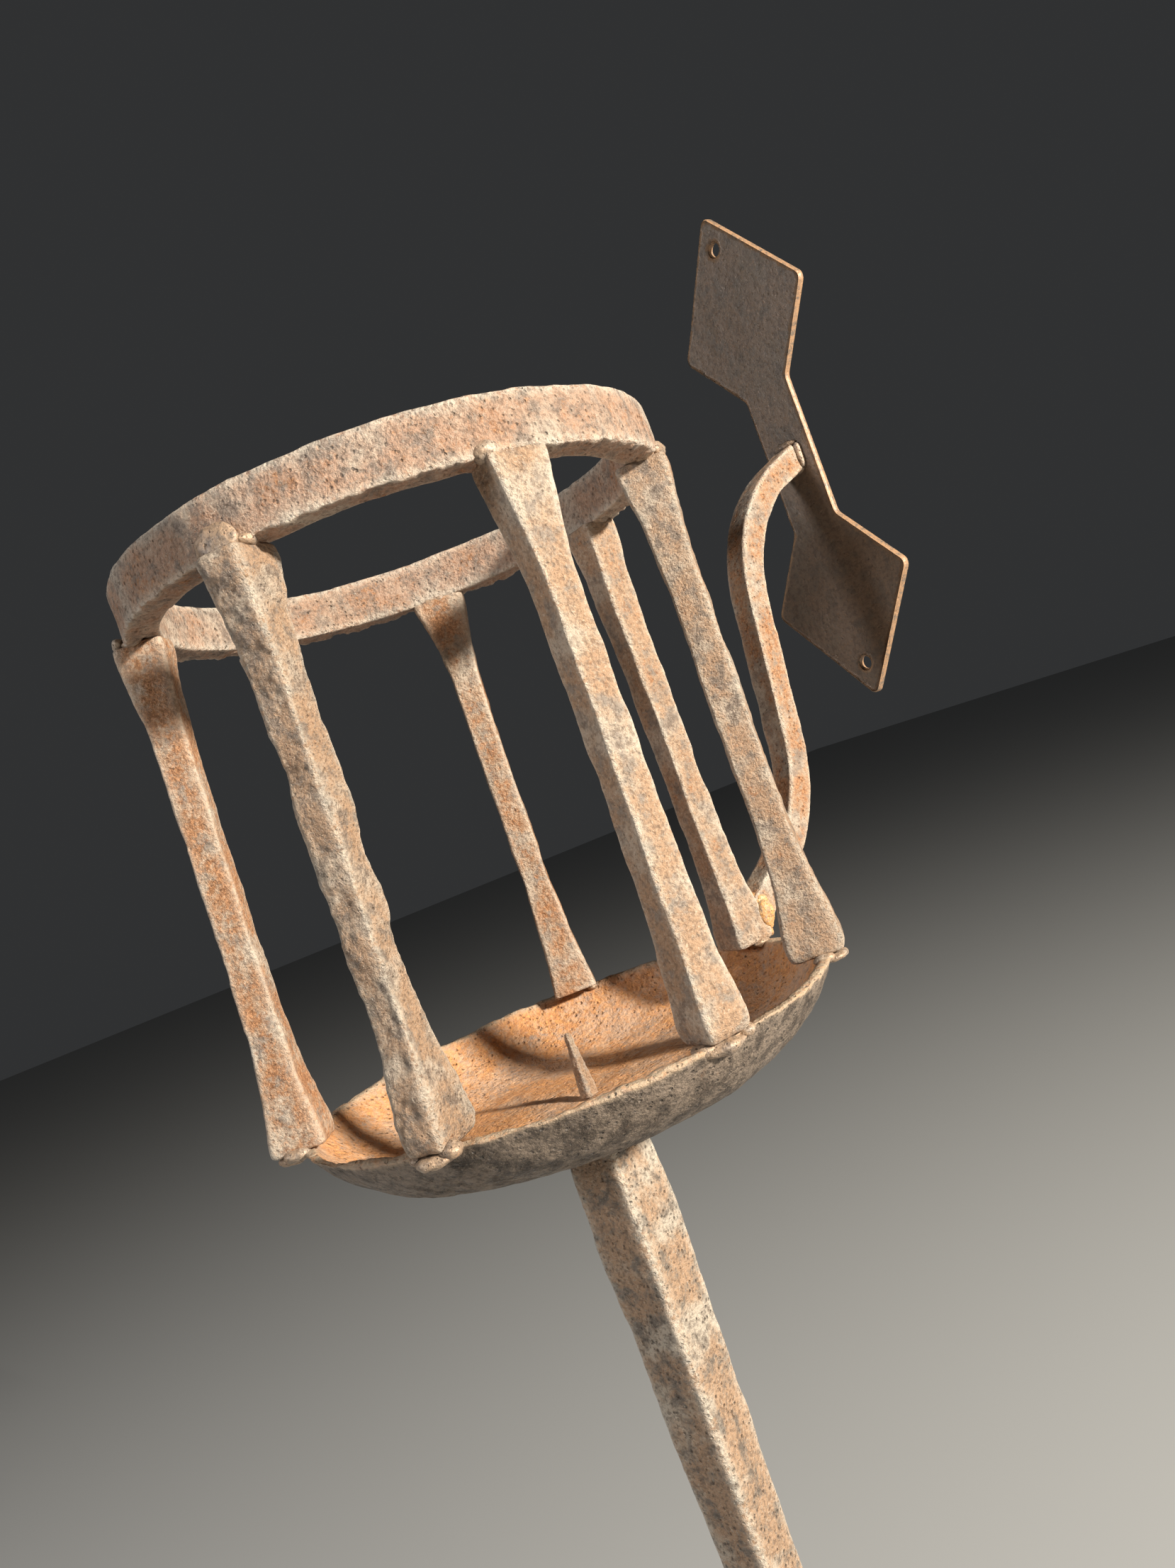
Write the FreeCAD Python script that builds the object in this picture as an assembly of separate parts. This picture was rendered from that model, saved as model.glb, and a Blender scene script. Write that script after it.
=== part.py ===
import FreeCAD, Part

import math
import os

from FreeCAD import Rotation, Vector

# A torch-shaped wall sconce of forged and welded iron bar, for one candle.
#
# Seven bars stand on the rim of a dished drip pan and carry a ring. A square
# stem tapers down from the pan like the handle of a torch, and an S-shaped arm
# joins the foot of one bar to a double-diamond plate with a nail hole at each
# tip. Every joint is a weld, and each weld's bead is a solid of its own.
#
# Frame: the origin is the middle of the plate's back, +Y goes into the wall and
# +Z is up. The pan and the stem share a vertical axis in front of the plate.
# Lengths are millimetres and angles are degrees.

# Wall plate: two diamonds joined by a straight neck
plate_thickness = 2.0
plate_half_length = 75.0
plate_half_width = 26.5
plate_half_neck = 9.0
plate_corner_height = 42.5
nail_hole_inset = 10.0
nail_hole_radius = 2.0

# Where the cage hangs: its outside from the wall, the pan's rim below the origin
arm_reach = 77.5
rim_drop = 123.0

# Ring, set a little to one side of the pan's axis
ring_outer_radius = 62.5
ring_thickness = 8.0
ring_height = 11.5
ring_shift = 4.5

# Bars between the pan's rim and the ring's lower face, forged wider at both ends,
# so their feet and tops overhang. Widths run along the rim and depths across it.
# Each bar: azimuth, foot width, foot depth, top width, top depth
cage_height = 114.5
bars = (
    (91.0, 12.0, 12.0, 11.5, 10.0),
    (145.0, 12.0, 11.0, 14.0, 10.0),
    (194.0, 11.0, 12.0, 13.0, 11.0),
    (247.0, 11.0, 13.5, 11.0, 12.0),
    (302.3, 9.5, 15.0, 10.5, 13.0),
    (355.4, 12.0, 12.0, 14.0, 9.5),
    (405.0, 9.5, 15.0, 10.0, 12.5),
)
bar_waist_width = 7.4
bar_waist_depth = 7.6
bar_inset = 3.2
bar_foot_flare = 34.0
bar_top_flare = 28.0

# Drip pan: a flat floor and a wall that curves up to the rim, just wider than the ring
pan_rim_overhang = 0.5
pan_wall_run = 27.0
pan_depth = 16.8
pan_wall = 2.2

# Pricket, the spike that holds the candle
pricket_height = 15.3
pricket_foot_side = 3.4
pricket_tip_side = 0.8

# Stem: a square bar that swells under the pan, then tapers to a blunt end
stem_length = 290.0
stem_turn = 18.0
stem_top_side = 14.8
stem_swell_side = 15.6
stem_swell_depth = 30.0
stem_end_side = 6.5
stem_point_side = 3.0
stem_point_length = 6.0

# Arm: heights are over the pan's rim, reaches are from the ring's outside
arm_width = 8.0
arm_thickness = 7.5
arm_root_height = 5.0
arm_elbow_reach = 31.3
arm_elbow_height = 25.2
arm_elbow_radius = 45.0
arm_shoulder_setback = 31.8
arm_shoulder_drop = 13.4
arm_shoulder_radius = 44.0
arm_below_middle = 1.0

# Weld beads: how far they stand out from what they join
bead_leg = 3.0
bead_cover = 1.2
bead_rounding = 2.0
collar_leg = 2.0

# Values that follow from the ones above
stand_off = ring_outer_radius + arm_reach
arm_azimuth = 90.0
arm_root_slope = (arm_elbow_height - arm_root_height) / arm_elbow_reach
arm_plate_slope = arm_shoulder_drop / arm_shoulder_setback
bar_circle_radius = ring_outer_radius - bar_inset
pan_rim_radius = ring_outer_radius + pan_rim_overhang
pan_floor_radius = pan_rim_radius - pan_wall_run
arm_plate_reach = arm_reach - plate_thickness
arm_plate_height = rim_drop - arm_below_middle
nail_hole_height = plate_half_length - nail_hole_inset
rim_level = -rim_drop
ring_level = rim_level + cage_height
floor_level = rim_level - pan_depth
trim_margin = 2 * bar_waist_depth
bar_lean = Rotation(Vector(0, 0, 1), Vector(ring_shift, 0, cage_height))


def on_cage(radius, azimuth, height):
    """Point at a radius and an azimuth about the pan's axis, at a height."""
    angle = math.radians(azimuth)
    return Vector(radius * math.cos(angle), radius * math.sin(angle) - stand_off, height)


def turned_to(shape, azimuth):
    """The shape turned about Z, so that what faced +Y faces the azimuth."""
    turned = shape.copy()
    turned.rotate(Vector(0, 0, 0), Vector(0, 0, 1), azimuth - 90)
    return turned


def rectangle(side_x, side_y, height):
    """Rectangle about the Z axis, in the plane at a height."""
    x, y = side_x / 2, side_y / 2
    corners = [Vector(x, y, height), Vector(-x, y, height), Vector(-x, -y, height), Vector(x, -y, height)]
    return Part.makePolygon(corners + corners[:1])


def rounded_block(size_x, size_y, size_z):
    """Block about the origin with every edge rounded."""
    block = Part.makeBox(size_x, size_y, size_z, Vector(-size_x / 2, -size_y / 2, -size_z / 2))
    return block.makeFillet(bead_rounding, block.Edges)


def fillet_collar(side_x, side_y, leg):
    """Sloped bead on the plane at zero height, around a bar of this section that rises from it."""
    foot = rectangle(side_x + 2 * leg, side_y + 2 * leg, 0)
    return Part.makeLoft([foot, rectangle(side_x, side_y, leg)], True, True)


def wall_plate():
    """Plate with its back at y = 0 and the two nail holes through it."""
    rise_of_edge = (plate_half_length - plate_corner_height) / plate_half_width
    neck_end = plate_corner_height - (plate_half_width - plate_half_neck) * rise_of_edge
    corner, neck = (plate_half_width, plate_corner_height), (plate_half_neck, neck_end)
    upper = [(0, plate_half_length), corner, neck]
    right = upper + [(x, -z) for x, z in reversed(upper)]
    outline = right + [(-x, z) for x, z in reversed(right[1:-1])]
    points = [Vector(x, 0, z) for x, z in outline]
    plate = Part.Face(Part.makePolygon(points + points[:1])).extrude(Vector(0, -plate_thickness, 0))
    for side in (-1, 1):
        foot = Vector(0, -2 * plate_thickness, side * nail_hole_height)
        plate = plate.cut(Part.makeCylinder(nail_hole_radius, 3 * plate_thickness, foot, Vector(0, 1, 0)))
    return plate


def top_ring():
    """Plain ring, its lower face on the tops of the bars."""
    centre = Vector(ring_shift, -stand_off, ring_level)
    outside = Part.makeCylinder(ring_outer_radius, ring_height, centre)
    return outside.cut(Part.makeCylinder(ring_outer_radius - ring_thickness, ring_height, centre))


def flare_middle(widening, length):
    """Middle of the arc that leaves the waist upright and widens by this much over this length."""
    radius = (length ** 2 + widening ** 2) / (2 * widening)
    half_turn = math.asin(length / radius) / 2
    return radius * (1 - math.cos(half_turn)), radius * math.sin(half_turn)


def flared_side(foot, waist, top):
    """Corner points and edges up a side that lies at these distances from the bar's middle."""
    foot_x, foot_z = flare_middle(foot - waist, bar_foot_flare)
    top_x, top_z = flare_middle(top - waist, bar_top_flare)
    waist_top = cage_height - bar_top_flare
    low, high = Vector(foot, 0, -trim_margin), Vector(top, 0, cage_height + trim_margin)
    foot_start, top_start = Vector(foot, 0, 0), Vector(top, 0, cage_height)
    waist_low, waist_high = Vector(waist, 0, bar_foot_flare), Vector(waist, 0, waist_top)
    foot_arc = Part.Arc(foot_start, Vector(waist + foot_x, 0, bar_foot_flare - foot_z), waist_low)
    top_arc = Part.Arc(waist_high, Vector(waist + top_x, 0, waist_top + top_z), top_start)
    straights = [(low, foot_start), (waist_low, waist_high), (top_start, high)]
    edges = [foot_arc.toShape(), top_arc.toShape()] + [Part.makeLine(a, b) for a, b in straights]
    return low, high, edges


def flared_prism(foot_size, waist_size, top_size):
    """Prism with these sizes along X at its foot, waist and top, centred on the Z axis."""
    halves = [size / 2 for size in (foot_size, waist_size, top_size)]
    low, high, edges = flared_side(*halves)
    other_low, other_high, other_edges = flared_side(*[-half for half in halves])
    ends = [Part.makeLine(low, other_low), Part.makeLine(high, other_high)]
    outline = Part.Wire(Part.__sortEdges__(edges + other_edges + ends))
    prism = Part.Face(outline).extrude(Vector(0, 2 * ring_outer_radius, 0))
    prism.translate(Vector(0, -ring_outer_radius, 0))
    return prism


def bar(azimuth, foot_width, foot_depth, top_width, top_depth):
    """Leaning bar, wide at its foot and its top, trimmed by the rim's and the ring's planes."""
    front = flared_prism(foot_width, bar_waist_width, top_width)
    side = flared_prism(foot_depth, bar_waist_depth, top_depth)
    side.rotate(Vector(0, 0, 0), Vector(0, 0, 1), 90)
    blank = turned_to(front.common(side), azimuth)
    blank.rotate(Vector(0, 0, 0), bar_lean.Axis, math.degrees(bar_lean.Angle))
    blank.translate(on_cage(bar_circle_radius, azimuth, rim_level))
    room = Part.makeCylinder(2 * ring_outer_radius, cage_height, Vector(0, -stand_off, rim_level))
    return blank.common(room)


def drip_pan():
    """Dish of even wall: the wall's arc is tangent to the floor."""
    outer_radius = ((pan_rim_radius - pan_floor_radius) ** 2 + pan_depth ** 2) / (2 * pan_depth)
    centre_height = outer_radius - pan_depth

    def wall_point(radius, share):
        reach = math.sqrt(radius ** 2 - centre_height ** 2)
        angle = math.atan2(reach, centre_height) * share
        return Vector(pan_floor_radius + radius * math.sin(angle), 0, centre_height - radius * math.cos(angle))

    def wall_arc(radius):
        floor_edge, middle, rim = (wall_point(radius, share) for share in (0, 0.5, 1))
        return floor_edge, rim, Part.Arc(floor_edge, middle, rim).toShape()

    outer_floor, outer_rim, outer_arc = wall_arc(outer_radius)
    inner_floor, inner_rim, inner_arc = wall_arc(outer_radius - pan_wall)
    bottom, top = Vector(0, 0, outer_floor.z), Vector(0, 0, inner_floor.z)
    straights = [(bottom, outer_floor), (top, inner_floor), (outer_rim, inner_rim), (bottom, top)]
    edges = [outer_arc, inner_arc] + [Part.makeLine(a, b) for a, b in straights]
    profile = Part.Face(Part.Wire(Part.__sortEdges__(edges)))
    pan = profile.revolve(Vector(0, 0, 0), Vector(0, 0, 1), 360)
    pan.translate(Vector(0, -stand_off, rim_level))
    return pan


def pricket():
    """Square spike on the middle of the pan's floor."""
    foot = rectangle(pricket_foot_side, pricket_foot_side, 0)
    tip = rectangle(pricket_tip_side, pricket_tip_side, pricket_height)
    spike = turned_to(Part.makeLoft([foot, tip], True, True), stem_turn)
    spike.translate(Vector(0, -stand_off, floor_level + pan_wall))
    return spike


def stem():
    """Square bar under the pan's floor, with a short blunt point."""
    sections = [
        (stem_top_side, 0),
        (stem_swell_side, -stem_swell_depth),
        (stem_end_side, stem_point_length - stem_length),
        (stem_point_side, -stem_length),
    ]
    blank = Part.makeLoft([rectangle(side, side, height) for side, height in sections], True, True)
    blank = turned_to(blank, stem_turn)
    blank.translate(Vector(0, -stand_off, floor_level))
    return blank


def rounded_path(points, radii):
    """Wire through the points, with a tangent arc of each radius in place of each inner corner."""
    edges, start = [], points[0]
    for before, corner, after, radius in zip(points, points[1:], points[2:], radii):
        back, ahead = (before - corner).normalize(), (after - corner).normalize()
        half_turn = (math.pi - back.getAngle(ahead)) / 2
        trim = radius * math.tan(half_turn)
        cut_in = radius / math.cos(half_turn) - radius
        arc_start, arc_end = corner + back * trim, corner + ahead * trim
        middle = corner + (back + ahead).normalize() * cut_in
        edges += [Part.makeLine(start, arc_start), Part.Arc(arc_start, middle, arc_end).toShape()]
        start = arc_end
    return Part.Wire(edges + [Part.makeLine(start, points[-1])])


def arm_point(reach, height):
    """Point in the arm's plane, by its reach from the ring's outside and its height over the rim."""
    return on_cage(ring_outer_radius + reach, arm_azimuth, rim_level + height)


def wall_arm(first_bar):
    """S-shaped bar from the outer face of the first bar to the plate, cut flat by the plate's front."""
    start = arm_point(-arm_thickness / 2, arm_root_height - arm_root_slope * arm_thickness / 2)
    elbow = arm_point(arm_elbow_reach, arm_elbow_height)
    shoulder = arm_point(arm_plate_reach - arm_shoulder_setback, arm_plate_height - arm_shoulder_drop)
    end = arm_point(arm_plate_reach + arm_thickness, arm_plate_height + arm_plate_slope * arm_thickness)
    path = rounded_path([start, elbow, shoulder, end], [arm_elbow_radius, arm_shoulder_radius])
    section = rectangle(arm_width, arm_thickness, 0)
    section.rotate(Vector(0, 0, 0), Vector(1, 0, 0), math.degrees(math.atan(arm_root_slope)) - 90)
    section.translate(start)
    swept = path.makePipeShell([section], True, False)
    room = Part.makeBox(
        2 * arm_width,
        arm_plate_reach,
        2 * rim_drop,
        Vector(-arm_width, ring_outer_radius - stand_off, -2 * rim_drop + arm_plate_height),
    )
    return swept.common(room).cut(first_bar)


def bar_end_bead(width, depth, azimuth, level, shift, neighbours):
    """Bead that wraps one end of a bar where it meets the rim or the ring."""
    bead = rounded_block(width + 2 * bead_leg, depth + 2 * bead_cover, 2 * bead_leg)
    bead = turned_to(bead, azimuth)
    bead.translate(on_cage(bar_circle_radius, azimuth, level) + Vector(shift, 0, 0))
    for neighbour in neighbours:
        bead = bead.cut(neighbour)
    return bead


def arm_root_bead(neighbours):
    """Bead around the arm on the outer face of the first bar."""
    cut_height = arm_thickness * math.hypot(1, arm_root_slope)
    bead = fillet_collar(arm_width, cut_height, bead_leg)
    bead.rotate(Vector(0, 0, 0), Vector(1, 0, 0), -90)
    bead.translate(arm_point(bar_waist_depth / 2 - bar_inset, arm_root_height))
    for neighbour in neighbours:
        bead = bead.cut(neighbour)
    return bead


def arm_plate_bead(arm):
    """Bead around the arm on the front of the plate."""
    cut_height = arm_thickness * math.hypot(1, arm_plate_slope)
    bead = fillet_collar(arm_width, cut_height, collar_leg)
    bead.rotate(Vector(0, 0, 0), Vector(1, 0, 0), 90)
    bead.translate(Vector(0, -plate_thickness, rim_level + arm_plate_height))
    return bead.cut(arm)


def stem_bead(stem_solid):
    """Bead around the top of the stem, under the pan's floor."""
    bead = fillet_collar(stem_top_side, stem_top_side, collar_leg)
    bead.rotate(Vector(0, 0, 0), Vector(1, 0, 0), 180)
    bead = turned_to(bead, stem_turn)
    bead.translate(Vector(0, -stand_off, floor_level))
    return bead.cut(stem_solid)


def build():
    """Every node's name and shape."""
    nodes = {
        "wall_plate": wall_plate(),
        "wall_arm": wall_arm(bar(*bars[0])),
        "top_ring": top_ring(),
        "drip_pan": drip_pan(),
        "pricket": pricket(),
        "stem": stem(),
    }
    ring, pan, arm = nodes["top_ring"], nodes["drip_pan"], nodes["wall_arm"]
    for number, (azimuth, foot_width, foot_depth, top_width, top_depth) in enumerate(bars, start=1):
        solid = bar(azimuth, foot_width, foot_depth, top_width, top_depth)
        foot_bead = bar_end_bead(foot_width, foot_depth, azimuth, rim_level, 0, [solid, pan, arm])
        ring_bead = bar_end_bead(top_width, top_depth, azimuth, ring_level, ring_shift, [solid, ring])
        nodes[f"bar_{number}"] = solid
        nodes[f"foot_weld_{number}"] = foot_bead
        nodes[f"ring_weld_{number}"] = ring_bead
    nodes["arm_root_weld"] = arm_root_bead([arm, pan, nodes["bar_1"], nodes["foot_weld_1"]])
    nodes["arm_plate_weld"] = arm_plate_bead(arm)
    nodes["stem_weld"] = stem_bead(nodes["stem"])
    return nodes


os.makedirs("parts", exist_ok=True)
for name, shape in build().items():
    shape.exportStep(f"parts/{name}.step")
    print(name, len(shape.Solids), shape.isValid(), round(shape.Volume, 1))
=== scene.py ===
import itertools
import math

import bpy
import numpy as np
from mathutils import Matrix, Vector
from mathutils.geometry import delaunay_2d_cdt


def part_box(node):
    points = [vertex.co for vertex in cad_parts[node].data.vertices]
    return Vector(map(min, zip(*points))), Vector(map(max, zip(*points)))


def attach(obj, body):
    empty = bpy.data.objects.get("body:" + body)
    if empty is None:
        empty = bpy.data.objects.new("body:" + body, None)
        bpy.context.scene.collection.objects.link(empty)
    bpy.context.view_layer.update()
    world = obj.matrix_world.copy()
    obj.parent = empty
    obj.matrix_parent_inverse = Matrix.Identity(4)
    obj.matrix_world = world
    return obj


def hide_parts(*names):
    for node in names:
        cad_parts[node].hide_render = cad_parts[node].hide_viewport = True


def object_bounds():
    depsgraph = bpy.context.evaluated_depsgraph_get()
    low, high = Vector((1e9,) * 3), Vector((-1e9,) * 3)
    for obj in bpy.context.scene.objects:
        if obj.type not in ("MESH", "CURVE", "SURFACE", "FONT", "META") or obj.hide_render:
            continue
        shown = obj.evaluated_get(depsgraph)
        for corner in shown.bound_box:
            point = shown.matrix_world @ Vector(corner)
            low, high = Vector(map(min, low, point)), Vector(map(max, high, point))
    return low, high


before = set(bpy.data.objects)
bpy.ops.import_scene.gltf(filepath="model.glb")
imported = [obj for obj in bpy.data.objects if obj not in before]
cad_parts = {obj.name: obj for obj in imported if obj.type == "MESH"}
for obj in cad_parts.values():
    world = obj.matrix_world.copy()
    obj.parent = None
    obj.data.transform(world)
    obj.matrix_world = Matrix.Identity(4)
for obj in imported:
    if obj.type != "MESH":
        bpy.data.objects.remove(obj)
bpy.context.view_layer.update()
MM = 0.001

# ---------------------------------------------------------------- the seven bars
# Short square bars of forged iron, drawn thin in the middle and left thick at
# both ends, with hammer marks, pits and worn arrises. They stand on the pan's
# rim, and the ring lies on their tops.
BAR_ROWS = 300
BAR_AROUND = 88
BAR_SQUARENESS = 9
BAR_WAIST_WIDTH = 7.4 * MM
BAR_WAIST_DEPTH = 7.6 * MM
BAR_INSET = 3.2 * MM
FOOT_FLARE = 34 * MM
TOP_FLARE = 28 * MM
SIZE_DRIFT = 0.06
SIDE_DRIFT = 0.5 * MM
FOOT_ROUND_HEIGHT = 6 * MM
TOP_ROUND_HEIGHT = 5 * MM
FLARE_POWER = 1.9
FOOT_ROUNDING = 0.35
TOP_ROUNDING = 0.25
TWIST_FADE = 0.5
SIZE_DRIFT_LENGTH = 11 * MM
SIDE_DRIFT_LENGTH = 34 * MM
BAR_SEED_STEP = 50
HAMMER = ((9, 0.30), (4.2, 0.16), (1.9, 0.085), (0.9, 0.045))
SECTION_SAMPLES = 4000

PALE_BLOOM = (0.53, 0.425, 0.325)
TAN_RUST = (0.45, 0.285, 0.175)
BROWN_SCALE = (0.155, 0.10, 0.066)
GREY_SCALE = (0.31, 0.25, 0.20)
ORANGE_RUST = (0.52, 0.25, 0.11)
DEEP_RUST = (0.27, 0.115, 0.045)
BLACK_PIT = (0.085, 0.06, 0.042)
WORN_EDGE = (0.78, 0.70, 0.58)

# How many cells of each mark fit in a metre, before a piece's own fineness
PATCHES = 75
BLOTCHES = 210
LUMPS = 330
SPECKS = 620
PITS = 760
GRIT = 900
GRAINS = 1500

# Each bar: azimuth, foot width and depth, top width and depth in millimetres,
# how round its foot and its top are, twist in degrees, depth of its lumps, how
# fine its skin is, how much of it is orange and how much brown, and how far its
# foot and its top stand sideways and outward of their even places, in millimetres
BARS = (
    (91, 12.0, 12.0, 11.5, 10.0, 0.4, 0.3, 4, 1.0, 1.1, 0.44, 0.42, (0.0, 0.0), (2.5, -2.6)),
    (145, 12.0, 11.0, 14.0, 10.0, 0.1, 0.2, -3, 0.9, 1.1, 0.60, 0.38, (-0.6, 0.0), (0.0, 0.0)),
    (194, 11.0, 12.0, 13.0, 11.0, 0.4, 0.3, 3, 1.0, 1.1, 0.40, 0.45, (0.0, 0.0), (0.0, 0.0)),
    (247, 12.0, 14.0, 11.0, 12.0, 0.4, 0.5, 13, 1.0, 1.1, 0.64, 0.34, (0.0, 3.4), (0.0, 0.4)),
    (302.3, 9.5, 15.0, 11.0, 13.0, 0.9, 0.5, 0, 1.7, 1.5, 0.34, 0.52, (0.0, 0.0), (0.0, 0.6)),
    (355.4, 12.0, 12.0, 14.0, 9.5, 1.0, 0.4, -2, 0.8, 1.1, 0.34, 0.34, (1.9, 0.0), (-0.8, 0.0)),
    (405, 9.5, 15.0, 10.0, 12.5, 0.9, 0.5, 0, 1.2, 1.7, 0.42, 0.50, (0.0, 1.2), (0.0, -1.2)),
)


def middle(node):
    """Middle of a node's box."""
    low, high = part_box(node)
    return (np.array(low) + np.array(high)) / 2


RIM_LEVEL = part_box("drip_pan")[1].z
RING_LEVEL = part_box("top_ring")[0].z
RING_OUTER = (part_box("top_ring")[1].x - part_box("top_ring")[0].x) / 2
RING_MIDDLE = middle("top_ring")
PAN_MIDDLE = middle("drip_pan")


def lattice_noise(points, size, seed):
    """Random values on the corners of a lattice of this size, blended by 6t^5 - 15t^4 + 10t^3."""
    table = np.random.default_rng(seed).uniform(-1, 1, 4096)
    scaled = points / size + seed * 7.31
    cell = np.floor(scaled).astype(np.int64)
    part = scaled - cell
    blend = part ** 3 * (part * (part * 6 - 15) + 10)
    total = np.zeros(points.shape[:-1])
    for corner in itertools.product((0, 1), repeat=3):
        near = cell + corner
        key = (near[..., 0] * 73856093) ^ (near[..., 1] * 19349663) ^ (near[..., 2] * 83492791)
        weight = np.where(corner, blend, 1 - blend).prod(axis=-1)
        total += weight * table[key & 4095]
    return total


def layered_noise(points, layers, seed):
    """Sum of the layers' noise times their depth, each layer with the next seed."""
    return sum(
        depth * lattice_noise(points, size * MM, seed + step) for step, (size, depth) in enumerate(layers)
    )


def grid_normals(grid, ring=False):
    """Unit cross product of the surface's two steps. The second wraps round, and in a ring the first too."""
    along = np.roll(grid, -1, axis=0) - np.roll(grid, 1, axis=0) if ring else np.gradient(grid, axis=0)
    around = np.roll(grid, -1, axis=1) - np.roll(grid, 1, axis=1)
    normal = np.cross(around, along)
    return normal / np.maximum(np.linalg.norm(normal, axis=-1, keepdims=True), 1e-12)


def roughened(grid, layers, seed, share=1, ring=False):
    """Each point moved along its normal by the sum of the layers' noise times their depth in millimetres."""
    lift = layered_noise(grid, layers, seed)
    return grid + grid_normals(grid, ring) * (lift * share * MM)[..., None]


def grid_faces(rows, columns, ring):
    """Row by row quads that wrap round, then a fan over each end, or wrapped rows when ring is set."""
    index = np.arange(rows * columns).reshape(rows, columns)
    right, upper = np.roll(index, -1, axis=1), np.roll(index, -1, axis=0)
    quads = np.stack([index, right, np.roll(right, -1, axis=0), upper], axis=-1)
    if ring:
        return quads.reshape(-1, 4).tolist()
    start, end = rows * columns, rows * columns + 1
    faces = quads[:-1].reshape(-1, 4).tolist()
    faces += [[start, b, a] for a, b in zip(index[0].tolist(), right[0].tolist())]
    faces += [[end, a, b] for a, b in zip(index[-1].tolist(), right[-1].tolist())]
    return faces


def enclosed_volume(points, faces):
    """Sum of the signed volumes between the origin and each face, cut into triangles."""
    corners = np.array([face[:3] for face in faces] + [[f[0], f[2], f[3]] for f in faces if len(f) == 4])
    a, b, c = (points[corners[:, step]] for step in range(3))
    return (a * np.cross(b, c)).sum() / 6


def mesh_piece(name, points, faces, attributes=None):
    """Smooth mesh at the origin whose faces look outward."""
    if enclosed_volume(points, faces) < 0:
        faces = [face[::-1] for face in faces]
    mesh = bpy.data.meshes.new(name)
    mesh.from_pydata(points.tolist(), [], faces)
    for label, values in (attributes or {}).items():
        mesh.attributes.new(label, "FLOAT", "POINT").data.foreach_set("value", values.astype(np.float32))
    mesh.shade_smooth()
    piece = bpy.data.objects.new(name, mesh)
    bpy.context.scene.collection.objects.link(piece)
    return piece


def grids_piece(name, grids, attributes=None, ring=False):
    """One mesh of closed grids, each given as rows of points that run round it."""
    points, faces, padded = [], [], {label: [] for label in attributes or {}}
    for number, grid in enumerate(grids):
        first = sum(len(block) for block in points)
        faces += [[first + corner for corner in face] for face in grid_faces(*grid.shape[:2], ring)]
        ends = [] if ring else [grid[0].mean(axis=0), grid[-1].mean(axis=0)]
        points.append(np.vstack([grid.reshape(-1, 3)] + ends))
        for label, values in (attributes or {}).items():
            value = np.broadcast_to(values[number], grid.shape[:2])
            padded[label] += [value.reshape(-1), value[[0, -1], 0][: len(ends)]]
    layers = {label: np.concatenate(values) for label, values in padded.items()}
    return mesh_piece(name, np.vstack(points), faces, layers)


def square_section(count, sharpness):
    """Points of |x|^n + |y|^n = 1, evenly spaced along the curve."""
    angle = np.linspace(0, 2 * np.pi, SECTION_SAMPLES)
    radius = (np.abs(np.cos(angle)) ** sharpness + np.abs(np.sin(angle)) ** sharpness) ** (-1 / sharpness)
    curve = np.stack([radius * np.cos(angle), radius * np.sin(angle)], axis=-1)
    length = np.concatenate([[0], np.cumsum(np.linalg.norm(np.diff(curve, axis=0), axis=1))])
    spaced = np.linspace(0, length[-1], count, endpoint=False)
    return np.stack([np.interp(spaced, length, curve[:, axis]) for axis in (0, 1)], axis=-1)


def arris_closeness(section):
    """Near one at a section's corners and zero along its faces: the fifth power of |xy|."""
    return np.abs(section[:, 0] * section[:, 1]) ** 5


def end_rounding(distance, length, amount):
    """Scale of a section near an end: it falls like a circle's edge by the amount over the length."""
    into = np.clip(1 - distance / length, 0, 1)
    return 1 - amount * (1 - np.sqrt(1 - into ** 2.4))


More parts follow.
